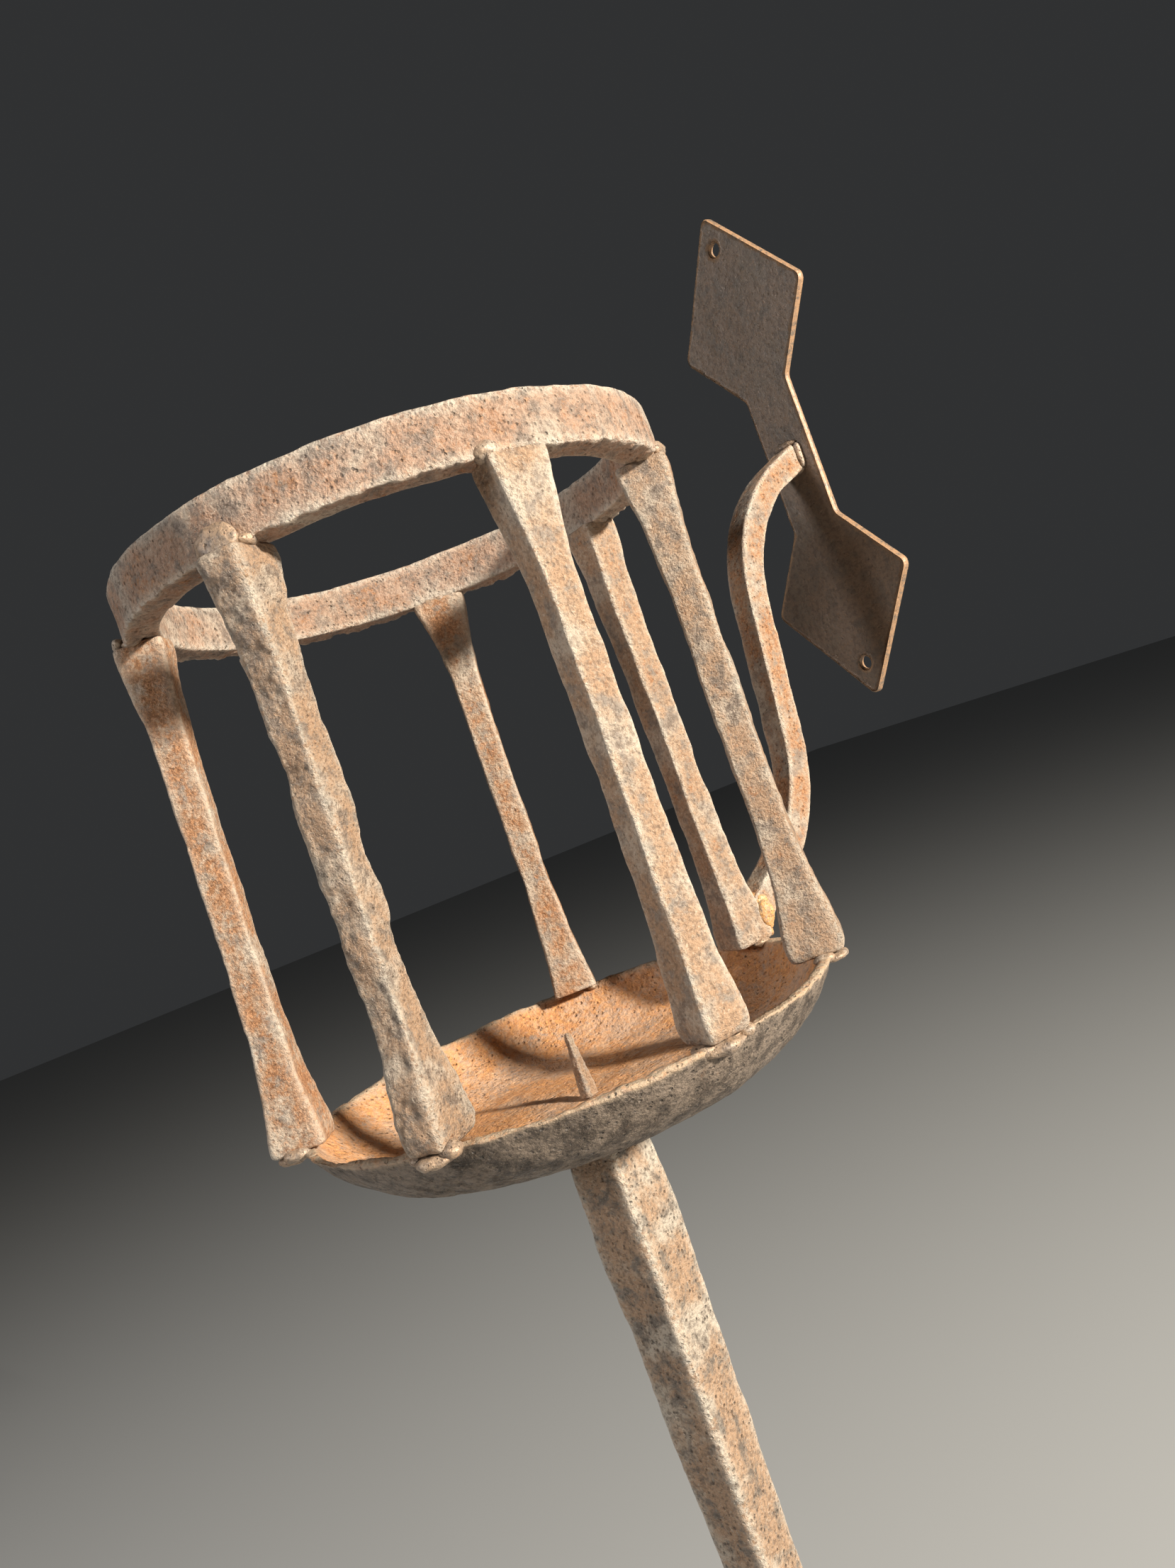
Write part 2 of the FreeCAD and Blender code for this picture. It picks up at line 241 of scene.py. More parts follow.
def bar_grid(sizes, seed):
    """Square section carried up from the rim to the ring, with its own width and depth at each height."""
    azimuth, foot_width, foot_depth, top_width, top_depth, foot_round, top_round, twist = sizes[:8]
    foot_shift, top_shift = sizes[-2:]
    total = RING_LEVEL - RIM_LEVEL
    height = np.linspace(0, total, BAR_ROWS)
    into_foot = np.clip(1 - height / FOOT_FLARE, 0, 1) ** FLARE_POWER
    into_top = np.clip(1 - (total - height) / TOP_FLARE, 0, 1) ** FLARE_POWER
    wander = np.stack([height, np.full_like(height, seed * MM), np.zeros_like(height)], axis=-1)
    rounding = end_rounding(height, FOOT_ROUND_HEIGHT, foot_round * FOOT_ROUNDING)
    rounding = rounding * end_rounding(total - height, TOP_ROUND_HEIGHT, top_round * TOP_ROUNDING)

    def size(foot, waist, top, drift_seed):
        grown = waist + (foot * MM - waist) * into_foot + (top * MM - waist) * into_top
        return grown * rounding * (1 + SIZE_DRIFT * lattice_noise(wander, SIZE_DRIFT_LENGTH, drift_seed))

    section = square_section(BAR_AROUND, BAR_SQUARENESS)
    across = section[None, :, 0] * size(foot_width, BAR_WAIST_WIDTH, top_width, seed + 20)[:, None] / 2
    deep = section[None, :, 1] * size(foot_depth, BAR_WAIST_DEPTH, top_depth, seed + 30)[:, None] / 2
    turn = math.radians(azimuth)
    outward = np.array([math.cos(turn), math.sin(turn), 0])
    sideways = np.array([-math.sin(turn), math.cos(turn), 0])
    spin = np.radians(twist) * (1 - TWIST_FADE * height / total)[:, None]
    turned_across = across * np.cos(spin) - deep * np.sin(spin)
    turned_deep = across * np.sin(spin) + deep * np.cos(spin)
    share = (height / total)[:, None]
    axis = PAN_MIDDLE + (RING_MIDDLE - PAN_MIDDLE) * share
    axis[:, 2] = RIM_LEVEL + height
    aside, out = (MM * (share * top_shift[step] + (1 - share) * foot_shift[step]) for step in (0, 1))
    drift = (SIDE_DRIFT * lattice_noise(wander, SIDE_DRIFT_LENGTH, seed + 40))[:, None]
    centre = axis + outward * (RING_OUTER - BAR_INSET + out) + sideways * (drift + aside)
    return centre[:, None] + sideways * turned_across[..., None] + outward * turned_deep[..., None]


def plug(tree, socket, value):
    """Links a socket to the value when it is a socket too, and sets it otherwise."""
    if isinstance(value, bpy.types.NodeSocket):
        tree.links.new(value, socket)
    elif isinstance(value, tuple) and len(value) == 3 and socket.type == "RGBA":
        socket.default_value = (*value, 1)
    else:
        socket.default_value = value


def noise(tree, vector, scale, detail=4, rough=0.6):
    """Fac output of a noise texture."""
    node = tree.nodes.new("ShaderNodeTexNoise")
    for label, value in (("Vector", vector), ("Scale", scale), ("Detail", detail), ("Roughness", rough)):
        plug(tree, node.inputs[label], value)
    return node.outputs["Fac"]


def cells(tree, vector, scale):
    """Distance to the nearest of scattered points."""
    node = tree.nodes.new("ShaderNodeTexVoronoi")
    plug(tree, node.inputs["Vector"], vector)
    plug(tree, node.inputs["Scale"], scale)
    return node.outputs["Distance"]


def between(tree, value, low, high):
    """Smooth step of the value from 0 at low to 1 at high."""
    node = tree.nodes.new("ShaderNodeMapRange")
    node.interpolation_type = "SMOOTHSTEP"
    for label, setting in (("Value", value), ("From Min", low), ("From Max", high)):
        plug(tree, node.inputs[label], setting)
    return node.outputs["Result"]


def sums(tree, operation, first, second):
    """Result of one math node."""
    node = tree.nodes.new("ShaderNodeMath")
    node.operation = operation
    plug(tree, node.inputs[0], first)
    plug(tree, node.inputs[1], second)
    return node.outputs[0]


def mixed(tree, factor, first, second):
    """Colour mixed from the first to the second by the factor."""
    node = tree.nodes.new("ShaderNodeMix")
    node.data_type = "RGBA"
    for socket, value in ((0, factor), (6, first), (7, second)):
        plug(tree, node.inputs[socket], value)
    return node.outputs[2]


def new_group(name, inputs, outputs):
    """Node group with these sockets, and its input and output nodes."""
    group = bpy.data.node_groups.new(name, "ShaderNodeTree")
    for labels, direction in ((inputs, "INPUT"), (outputs, "OUTPUT")):
        for label, kind in labels.items():
            group.interface.new_socket(label, in_out=direction, socket_type=f"NodeSocket{kind}")
    return group, group.nodes.new("NodeGroupInput").outputs, group.nodes.new("NodeGroupOutput").inputs


def skin_colour_group():
    """Rust patches, scale, dark hollows, black pits and worn arrises over a pale bloom."""
    colours = ("Bare", "Tan", "Scale", "Grey", "Orange", "Deep", "Pit", "Worn")
    amounts = ("Orange Share", "Scale Share", "Pit Share", "Arris", "Fineness")
    inputs = {"Vector": "Vector"} | dict.fromkeys(colours, "Color") | dict.fromkeys(amounts, "Float")
    group, given, result = new_group("skin_colour", inputs, {"Color": "Color", "Roughness": "Float"})
    where = given["Vector"]

    def sized(scale):
        return sums(group, "MULTIPLY", given["Fineness"], scale)

    def share_mask(value, share, soft):
        low = sums(group, "SUBTRACT", 0.74, sums(group, "MULTIPLY", share, 0.48))
        return between(group, value, low, sums(group, "ADD", low, soft))

    patches = noise(group, where, sized(PATCHES), 5, 0.62)
    blotches = noise(group, where, sized(BLOTCHES), 5, 0.66)
    specks = noise(group, where, sized(SPECKS), 4, 0.7)
    grains = noise(group, where, sized(GRAINS), 3, 0.7)
    broken = sums(group, "ADD", sums(group, "MULTIPLY", patches, 0.5), sums(group, "MULTIPLY", specks, 0.5))
    fine = sums(group, "MULTIPLY", grains, 0.45)
    mottled = sums(group, "ADD", sums(group, "MULTIPLY", blotches, 0.55), fine)
    rust = share_mask(broken, given["Orange Share"], 0.14)
    scale = share_mask(mottled, given["Scale Share"], 0.12)
    tanned = mixed(group, between(group, patches, 0.34, 0.54), given["Bare"], given["Tan"])
    greyed = mixed(group, between(group, blotches, 0.48, 0.66), tanned, given["Grey"])
    skin = mixed(group, sums(group, "MULTIPLY", scale, 0.8), greyed, given["Scale"])
    crests = sums(group, "MULTIPLY", between(group, grains, 0.54, 0.66), 0.3)
    skin = mixed(group, crests, skin, given["Worn"])
    grit = noise(group, where, sized(GRIT), 5, 0.68)
    hollows = sums(group, "SUBTRACT", 1, between(group, grit, 0.4, 0.52))
    skin = mixed(group, sums(group, "MULTIPLY", hollows, 0.5), skin, given["Scale"])
    rusty = mixed(group, between(group, grains, 0.42, 0.6), given["Deep"], given["Orange"])
    skin = mixed(group, sums(group, "MULTIPLY", rust, 0.9), skin, rusty)
    pits = sums(group, "SUBTRACT", 1, between(group, cells(group, where, sized(PITS)), 0.08, 0.36))
    pits = sums(group, "MULTIPLY", pits, between(group, specks, 0.5, 0.62))
    skin = mixed(group, sums(group, "MULTIPLY", pits, given["Pit Share"]), skin, given["Pit"])
    rubbed = sums(group, "MULTIPLY", given["Arris"], between(group, specks, 0.36, 0.54))
    plug(group, result["Color"], mixed(group, rubbed, skin, given["Worn"]))
    dulled = sums(group, "ADD", 0.5, sums(group, "MULTIPLY", rust, 0.3))
    glints = sums(group, "MULTIPLY", between(group, grains, 0.5, 0.68), 0.22)
    plug(group, result["Roughness"], sums(group, "SUBTRACT", dulled, glints))
    return group


def skin_height_group():
    """Heights in millimetres: hammered lumps, grain and round pits."""
    inputs = {"Vector": "Vector", "Fineness": "Float", "Lump": "Float", "Grain": "Float", "Pit": "Float"}
    group, given, result = new_group("skin_height", inputs, {"Height": "Float"})
    where = given["Vector"]

    def sized(scale):
        return sums(group, "MULTIPLY", given["Fineness"], scale)

    lumps = sums(group, "MULTIPLY", noise(group, where, sized(LUMPS), 4, 0.55), given["Lump"])
    grain = sums(group, "MULTIPLY", noise(group, where, sized(GRIT), 5, 0.68), given["Grain"])
    pits = sums(group, "SUBTRACT", 1, between(group, cells(group, where, sized(PITS)), 0.08, 0.4))
    specks = noise(group, where, sized(SPECKS), 4, 0.7)
    pits = sums(group, "MULTIPLY", pits, between(group, specks, 0.46, 0.6))
    sunk = sums(group, "MULTIPLY", pits, given["Pit"])
    plug(group, result["Height"], sums(group, "SUBTRACT", sums(group, "ADD", lumps, grain), sunk))
    return group


SKIN_COLOUR, SKIN_HEIGHT = skin_colour_group(), skin_height_group()
IRON_COLOURS = {"Bare": PALE_BLOOM, "Tan": TAN_RUST, "Scale": BROWN_SCALE, "Grey": GREY_SCALE}
IRON_COLOURS |= {"Orange": ORANGE_RUST, "Deep": DEEP_RUST, "Pit": BLACK_PIT, "Worn": WORN_EDGE}
IRON_RELIEF = {"Fineness": 1.0, "Lump": 1.2, "Grain": 1.1, "Pit": 0.7}


def placed_group(tree, group, vector, settings):
    """A shared group in a material, with its vector and its own settings."""
    node = tree.nodes.new("ShaderNodeGroup")
    node.node_tree = group
    plug(tree, node.inputs["Vector"], vector)
    for label, value in settings.items():
        plug(tree, node.inputs[label], value)
    return node.outputs


def material_start(name, seed):
    """New material, its node tree, its Principled node and object coordinates moved by the seed."""
    material = bpy.data.materials.new(name)
    material.use_nodes = True
    tree = material.node_tree
    place = tree.nodes.new("ShaderNodeMapping")
    place.inputs["Location"].default_value = (seed * 0.731, seed * 0.417, seed * 0.259)
    tree.links.new(tree.nodes.new("ShaderNodeTexCoord").outputs["Object"], place.inputs["Vector"])
    return material, tree, tree.nodes["Principled BSDF"], place.outputs["Vector"]


def attribute(tree, label):
    """Value of a vertex attribute."""
    node = tree.nodes.new("ShaderNodeAttribute")
    node.attribute_name = label
    return node.outputs["Fac"]


def bump_to(tree, shader, height):
    """Feeds the shader's normal from a height in millimetres."""
    bump = tree.nodes.new("ShaderNodeBump")
    bump.inputs["Distance"].default_value = MM
    bump.inputs["Strength"].default_value = 1
    tree.links.new(height, bump.inputs["Height"])
    tree.links.new(bump.outputs["Normal"], shader.inputs["Normal"])


def iron_skin(name, seed, colours, relief, shares, metallic=0.15):
    """Material of one piece of iron: shares are its orange, brown and pit amounts."""
    material, tree, shader, vector = material_start(name, seed)
    orange, brown, pit = shares
    settings = IRON_COLOURS | colours | {"Orange Share": orange, "Scale Share": brown, "Pit Share": pit}
    relief = IRON_RELIEF | relief
    settings |= {"Arris": attribute(tree, "arris"), "Fineness": relief["Fineness"]}
    skin = placed_group(tree, SKIN_COLOUR, vector, settings)
    tree.links.new(skin["Color"], shader.inputs["Base Color"])
    tree.links.new(skin["Roughness"], shader.inputs["Roughness"])
    shader.inputs["Metallic"].default_value = metallic
    bump_to(tree, shader, placed_group(tree, SKIN_HEIGHT, vector, relief)["Height"])
    return material


def shown(piece, node, material):
    """The piece stands for its CAD node and wears the material."""
    piece.data.materials.append(material)
    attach(piece, "root")
    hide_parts(node)


for number, sizes in enumerate(BARS, start=1):
    lumps, fineness, orange, brown = sizes[8:12]
    grid = roughened(bar_grid(sizes, number), HAMMER, number * BAR_SEED_STEP, lumps)
    arris = arris_closeness(square_section(BAR_AROUND, BAR_SQUARENESS))
    piece = grids_piece(f"forged_bar_{number}", [grid], {"arris": [arris]})
    relief = {"Fineness": fineness, "Lump": 0.75 * lumps, "Pit": 0.25 * lumps}
    skin = iron_skin(f"bar_{number}_iron", number, {}, relief, (orange, brown, 0.55))
    shown(piece, f"bar_{number}", skin)

# ---------------------------------------------------------------- the ring
# A flat strip of iron bent into a ring, lying a little to one side of the pan.
# Its lower outer edge is ragged with burrs.
RING_STEPS = 900
RING_AROUND = 72
RING_SQUARENESS = 14
RING_SKIN = ((22, 0.30), (6, 0.16), (2.4, 0.09), (1.0, 0.04))
BURRS = ((3.2, 0.50), (1.3, 0.30))
BURR_BAND = 0.22
BURR_REACH = -0.6
RING_WEAR = 0.9
RING_SEED = 500
RING_THICKNESS = 8 * MM


def ring_grid():
    """Section carried round a circle; the points near its lower edge are pushed out and in by the burrs."""
    low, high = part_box("top_ring")
    section = square_section(RING_AROUND, RING_SQUARENESS)
    turn = np.linspace(0, 2 * np.pi, RING_STEPS, endpoint=False)[:, None]
    radius = RING_OUTER - RING_THICKNESS / 2 + section[None, :, 0] * RING_THICKNESS / 2
    height = RING_MIDDLE[2] + section[:, 1] * (high.z - low.z) / 2 + 0 * turn
    flat = [RING_MIDDLE[0] + radius * np.cos(turn), RING_MIDDLE[1] + radius * np.sin(turn), height]
    grid = roughened(np.stack(flat, axis=-1), RING_SKIN, RING_SEED, ring=True)
    low_outer_edge = np.exp(-(((section[:, 1] + 1) / BURR_BAND) ** 2)) * (section[:, 0] > BURR_REACH)
    return roughened(grid, BURRS, RING_SEED + 20, low_outer_edge, ring=True), section


grid, section = ring_grid()
piece = grids_piece("forged_ring", [grid], {"arris": [arris_closeness(section) * RING_WEAR]}, ring=True)
RING_COLOURS = {"Bare": (0.50, 0.40, 0.31), "Tan": (0.44, 0.275, 0.185), "Grey": (0.30, 0.235, 0.19)}
RING_COLOURS |= {"Scale": (0.14, 0.09, 0.062)}
RING_RELIEF = {"Fineness": 1.1, "Lump": 1.1, "Grain": 1.15, "Pit": 0.7}
ring_skin = iron_skin("ring_iron", 11, RING_COLOURS, RING_RELIEF, (0.46, 0.48, 0.6))
shown(piece, "top_ring", ring_skin)

# ---------------------------------------------------------------- the drip pan
# A dish of thick sheet beaten into a hollow: orange rust inside, dark crust
# outside painted darker still as shade under the pan, and a thin tan rim with small notches.
PAN_COLUMNS = 560
PAN_ROWS = 168
PAN_WALL = 2.2 * MM
PAN_WALL_RUN = 27 * MM
PAN_SKIN = ((20, 0.45), (7, 0.25), (2.6, 0.13), (1.1, 0.06))
RIM_NOTCHES = ((5.5, 0.3), (2.0, 0.2))
NOTCH_REACH = 3.5 * MM
RIM_WEAR_REACH = 1.5 * MM
PAN_POLE = 0.4 * MM
PAN_CURVE_POINTS = 60
PAN_SEED = 600


def pan_profile():
    """Radii and heights from under the middle out to the rim and back to the middle, evenly spaced."""
    low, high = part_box("drip_pan")
    rim, depth = (high.x - low.x) / 2, high.z - low.z
    outer = (PAN_WALL_RUN ** 2 + depth ** 2) / (2 * depth)
    rise = outer - depth
    outer_turn = np.linspace(0, math.atan2(PAN_WALL_RUN, rise), PAN_CURVE_POINTS)
    inner = outer - PAN_WALL
    inner_turn = np.linspace(math.acos(rise / inner), 0, PAN_CURVE_POINTS)
    corners = [(PAN_POLE, -depth)]
    for radius, turns in ((outer, outer_turn), (inner, inner_turn)):
        corners += [(rim - PAN_WALL_RUN + radius * math.sin(t), rise - radius * math.cos(t)) for t in turns]
    corners.append((PAN_POLE, PAN_WALL - depth))
    path = np.array(corners)
    length = np.concatenate([[0], np.cumsum(np.linalg.norm(np.diff(path, axis=0), axis=1))])
    spaced = np.linspace(0, length[-1], PAN_ROWS)
    return [np.interp(spaced, length, path[:, axis]) for axis in (0, 1)]


radii, heights = pan_profile()
turn = np.linspace(0, 2 * np.pi, PAN_COLUMNS, endpoint=False)
flat = [PAN_MIDDLE[0] + np.outer(radii, np.cos(turn)), PAN_MIDDLE[1] + np.outer(radii, np.sin(turn))]
grid = np.stack(flat + [RIM_LEVEL + heights[:, None] + 0 * turn], axis=-1)
near_rim = np.clip(1 + heights / NOTCH_REACH, 0, 1)[:, None]
grid = roughened(grid, PAN_SKIN, PAN_SEED)
grid[..., 2] += near_rim * MM * sum(
    depth * (lattice_noise(grid * (1, 1, 0), size * MM, PAN_SEED + 20) - 0.5) for size, depth in RIM_NOTCHES
)
underside = (np.arange(PAN_ROWS) < radii.argmax())[:, None]
worn_rim = np.clip(1 + heights / RIM_WEAR_REACH, 0, 1)[:, None]
piece = grids_piece("beaten_pan", [grid], {"arris": [worn_rim], "underside": [underside]})
PAN_INSIDE = {"Bare": (0.54, 0.33, 0.20), "Scale": (0.33, 0.25, 0.21), "Grey": (0.48, 0.26, 0.12)}
PAN_INSIDE |= {"Tan": (0.60, 0.33, 0.17), "Orange": (0.66, 0.31, 0.10), "Deep": (0.46, 0.20, 0.08)}
PAN_INSIDE |= {"Pit": (0.14, 0.07, 0.04)}
# The outside's colours: a dark crust, made darker still as painted shade where shade falls under the pan.
PAN_OUTSIDE_CRUST_AND_SHADE = {"Bare": (0.21, 0.16, 0.12), "Scale": (0.04, 0.027, 0.018), "Grey": (0.12, 0.085, 0.06)}
PAN_OUTSIDE_CRUST_AND_SHADE |= {"Tan": (0.20, 0.15, 0.11), "Orange": (0.30, 0.17, 0.09), "Deep": (0.11, 0.055, 0.03)}
PAN_OUTSIDE_CRUST_AND_SHADE |= {"Pit": (0.012, 0.009, 0.008)}
RIM_TAN = (0.42, 0.32, 0.22)
PAN_RELIEF = {"Fineness": 0.9, "Lump": 1.1, "Grain": 0.8, "Pit": 0.8}


def pan_skin():
    """The inside's colours and the outside's, chosen by the underside attribute, with one roughness. The
    outside's dark crust is darkened further as painted shade under the pan.
    """
    material, tree, shader, vector = material_start("pan_rust", 21)
    common = {"Fineness": 0.95, "Pit Share": 0.6, "Arris": attribute(tree, "arris"), "Worn": RIM_TAN}
    inside = common | {"Orange Share": 0.62, "Scale Share": 0.5} | PAN_INSIDE
    outside = common | {"Orange Share": 0.30, "Scale Share": 0.6} | PAN_OUTSIDE_CRUST_AND_SHADE
    inside = placed_group(tree, SKIN_COLOUR, vector, inside)
    outside = placed_group(tree, SKIN_COLOUR, vector, outside)
    under = attribute(tree, "underside")
    tree.links.new(mixed(tree, under, inside["Color"], outside["Color"]), shader.inputs["Base Color"])
    tree.links.new(inside["Roughness"], shader.inputs["Roughness"])
    bump_to(tree, shader, placed_group(tree, SKIN_HEIGHT, vector, PAN_RELIEF)["Height"])
    return material


shown(piece, "drip_pan", pan_skin())

# ---------------------------------------------------------------- the pricket
# A tapered square nail, hammered to a blunt tip, that stands in the pan's
# middle and holds the candle.
PRICKET_ROWS = 90
PRICKET_AROUND = 40
PRICKET_FOOT_SIDE = 3.4 * MM
PRICKET_TIP_SIDE = 1.1 * MM
PRICKET_SQUARENESS = 6
PRICKET_TAPER_POWER = 1.35
TIP_LENGTH = 0.9 * MM
TIP_BLUNTNESS = 0.7
PRICKET_BEND = 0.1
PRICKET_SEED = 700
STEM_TURN = 18
SWAY_LENGTH = 60 * MM
NAIL_SKIN = ((3.0, 0.16), (1.2, 0.09), (0.6, 0.04))


def upright_grid(node, heights, sides, around, squareness, seed, bend):
    """Square section turned with the stem and carried up a node's own middle line, with a slight bend."""
    section = square_section(around, squareness)
    spin = math.radians(STEM_TURN)
    x = section[:, 0] * math.cos(spin) - section[:, 1] * math.sin(spin)
    y = section[:, 0] * math.sin(spin) + section[:, 1] * math.cos(spin)
    centre = middle(node)
    wander = np.stack([heights, np.full_like(heights, seed * MM), np.zeros_like(heights)], axis=-1)
    sway = [bend * MM * lattice_noise(wander, SWAY_LENGTH, seed + step) for step in (1, 2)]
    flat = [centre[0] + sway[0][:, None] + np.outer(sides / 2, x)]
    flat += [centre[1] + sway[1][:, None] + np.outer(sides / 2, y)]
    return np.stack(flat + [heights[:, None] + 0 * flat[0]], axis=-1), section


low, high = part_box("pricket")
heights = np.linspace(low.z, high.z, PRICKET_ROWS)
share = (heights - low.z) / (high.z - low.z)
sides = PRICKET_FOOT_SIDE + (PRICKET_TIP_SIDE - PRICKET_FOOT_SIDE) * share ** PRICKET_TAPER_POWER
sides = sides * end_rounding(high.z - heights, TIP_LENGTH, TIP_BLUNTNESS)
shape = (PRICKET_AROUND, PRICKET_SQUARENESS, PRICKET_SEED, PRICKET_BEND)
grid, section = upright_grid("pricket", heights, sides, *shape)
grid = roughened(grid, NAIL_SKIN, PRICKET_SEED + 10)
piece = grids_piece("candle_nail", [grid], {"arris": [arris_closeness(section)]})
NAIL_COLOURS = {"Bare": (0.52, 0.40, 0.29), "Grey": (0.42, 0.34, 0.27)}
NAIL_RELIEF = {"Fineness": 1.8, "Lump": 0.2, "Pit": 0.12}
nail = iron_skin("nail_iron", 31, NAIL_COLOURS, NAIL_RELIEF, (0.3, 0.4, 0.6))
shown(piece, "pricket", nail)

# ---------------------------------------------------------------- the stem
# A long square bar, drawn down from a slight swell under the pan to a short
# blunt point, with hammer marks down its length.
STEM_ROWS = 620
STEM_AROUND = 80
STEM_TOP_SIDE = 14.8 * MM
STEM_SWELL_SIDE = 15.6 * MM
STEM_SWELL_DEPTH = 30 * MM
STEM_END_SIDE = 6.5 * MM
STEM_POINT_SIDE = 3.0 * MM
STEM_POINT_LENGTH = 6 * MM
STEM_SQUARENESS = 12
STEM_BEND = 0.3
STEM_SEED = 800
STEM_SKIN = ((24, 0.35), (9, 0.20), (3.5, 0.11), (1.4, 0.06))

low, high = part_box("stem")
heights = np.linspace(high.z, low.z, STEM_ROWS)
knots = [low.z, low.z + STEM_POINT_LENGTH, high.z - STEM_SWELL_DEPTH, high.z]
sides = np.interp(heights, knots, [STEM_POINT_SIDE, STEM_END_SIDE, STEM_SWELL_SIDE, STEM_TOP_SIDE])
grid, section = upright_grid("stem", heights, sides, STEM_AROUND, STEM_SQUARENESS, STEM_SEED, STEM_BEND)
grid = roughened(grid, STEM_SKIN, STEM_SEED + 10)
piece = grids_piece("drawn_stem", [grid], {"arris": [arris_closeness(section)]})
STEM_COLOURS = {"Bare": (0.56, 0.47, 0.37), "Grey": (0.24, 0.195, 0.155), "Scale": (0.10, 0.07, 0.05)}
STEM_RELIEF = {"Fineness": 1.05, "Lump": 1.2, "Grain": 1.2, "Pit": 0.9}
shown(piece, "stem", iron_skin("stem_iron", 41, STEM_COLOURS, STEM_RELIEF, (0.2, 0.45, 0.7)))

# ---------------------------------------------------------------- the arm
# A square bar bent to an S, from the foot of one bar up to the wall plate.
ARM_AROUND = 64
ARM_WIDTH = 8 * MM
ARM_THICKNESS = 7.5 * MM
ARM_ROOT_HEIGHT = 5 * MM
ARM_ELBOW_REACH = 31.3 * MM
ARM_ELBOW_HEIGHT = 25.2 * MM
ARM_ELBOW_RADIUS = 45 * MM
ARM_SHOULDER_SETBACK = 31.8 * MM
ARM_SHOULDER_DROP = 13.4 * MM
ARM_SHOULDER_RADIUS = 44 * MM
ARM_END_GAP = 0.6 * MM
ARM_END_SLOPE = 0.42
ARM_SPACING = 0.33 * MM
ARM_SQUARENESS = 12
ARM_DRIFT = 0.05
ARM_DRIFT_LENGTH = 12 * MM
ARM_SEED = 900
ARC_POINTS = 24
ARM_SKIN = ((20, 0.3), (7, 0.16), (2.8, 0.09), (1.1, 0.045))


def rounded_line(corners, radii, spacing, closed=False):
    """Evenly spaced points along straight lines joined by an arc of each radius at each inner corner."""
    corners = [np.array(corner, float) for corner in corners]
    if closed:
        trios = [(corners[i - 1], corners[i], corners[(i + 1) % len(corners)]) for i in range(len(corners))]
    else:
        trios = list(zip(corners, corners[1:], corners[2:]))
    points = [] if closed else [corners[0]]
    for (before, corner, after), radius in zip(trios, radii):
        back, ahead = (before - corner), (after - corner)
        back, ahead = back / np.linalg.norm(back), ahead / np.linalg.norm(ahead)
        half_turn = (math.pi - math.acos(np.clip(back @ ahead, -1, 1))) / 2
        inward = (back + ahead) / np.linalg.norm(back + ahead)
        centre = corner + inward * radius / math.cos(half_turn)
        start = corner + back * radius * math.tan(half_turn) - centre
        end = corner + ahead * radius * math.tan(half_turn) - centre
        for share in np.linspace(0, 1, ARC_POINTS):
            weights = math.sin((1 - share) * 2 * half_turn), math.sin(share * 2 * half_turn)
            points.append(centre + (start * weights[0] + end * weights[1]) / math.sin(2 * half_turn))
    points.append(points[0] if closed else corners[-1])
    path = np.array(points)
    length = np.concatenate([[0], np.cumsum(np.linalg.norm(np.diff(path, axis=0), axis=1))])
    spaced = np.linspace(0, length[-1], max(3, round(length[-1] / spacing)), endpoint=not closed)
    return np.stack([np.interp(spaced, length, path[:, axis]) for axis in range(path.shape[1])], axis=-1)


def arm_line():
    """The arm's middle line, as y and z, from inside the first bar to the plate's front."""
    cage_outside = PAN_MIDDLE[1] + RING_OUTER
    plate_front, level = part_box("wall_plate")[0].y, middle("arm_plate_weld")[2]
    elbow = (cage_outside + ARM_ELBOW_REACH, RIM_LEVEL + ARM_ELBOW_HEIGHT)
    slope = (ARM_ELBOW_HEIGHT - ARM_ROOT_HEIGHT) / ARM_ELBOW_REACH
    root = (cage_outside - ARM_THICKNESS / 4, RIM_LEVEL + ARM_ROOT_HEIGHT - slope * ARM_THICKNESS / 4)
    shoulder = (plate_front - ARM_SHOULDER_SETBACK, level - ARM_SHOULDER_DROP)
    corners = [root, elbow, shoulder, (plate_front - ARM_END_GAP, level - ARM_END_GAP * ARM_END_SLOPE)]
    return rounded_line(corners, (ARM_ELBOW_RADIUS, ARM_SHOULDER_RADIUS), ARM_SPACING)


def arm_grid():
    """Square section carried along the arm's line, square to it."""
    line = arm_line()
    tangent = np.gradient(line, axis=0)
    tangent /= np.linalg.norm(tangent, axis=1, keepdims=True)
    normal = np.stack([-tangent[:, 1], tangent[:, 0]], axis=-1)
    section = square_section(ARM_AROUND, ARM_SQUARENESS)
    travel = np.arange(len(line))[:, None] * ARM_SPACING * np.array([1.0, 0, 0])
    drift = 1 + ARM_DRIFT * lattice_noise(travel, ARM_DRIFT_LENGTH, ARM_SEED + 5)
    x = section[None, :, 0] * (drift * ARM_WIDTH / 2)[:, None]
    rise = section[None, :, 1] * (drift * ARM_THICKNESS / 2)[:, None]
    y = line[:, :1] + normal[:, :1] * rise
    z = line[:, 1:] + normal[:, 1:] * rise
    return np.stack([x + middle("wall_arm")[0], y, z], axis=-1), section


grid, section = arm_grid()
grid = roughened(grid, ARM_SKIN, ARM_SEED)
piece = grids_piece("bent_arm", [grid], {"arris": [arris_closeness(section)]})
ARM_COLOURS = {"Bare": (0.50, 0.41, 0.32), "Scale": (0.25, 0.17, 0.12)}
ARM_RELIEF = {"Fineness": 1.1, "Lump": 0.9, "Pit": 0.6}
arm_skin = iron_skin("arm_iron", 51, ARM_COLOURS, ARM_RELIEF, (0.6, 0.5, 0.6))
shown(piece, "wall_arm", arm_skin)

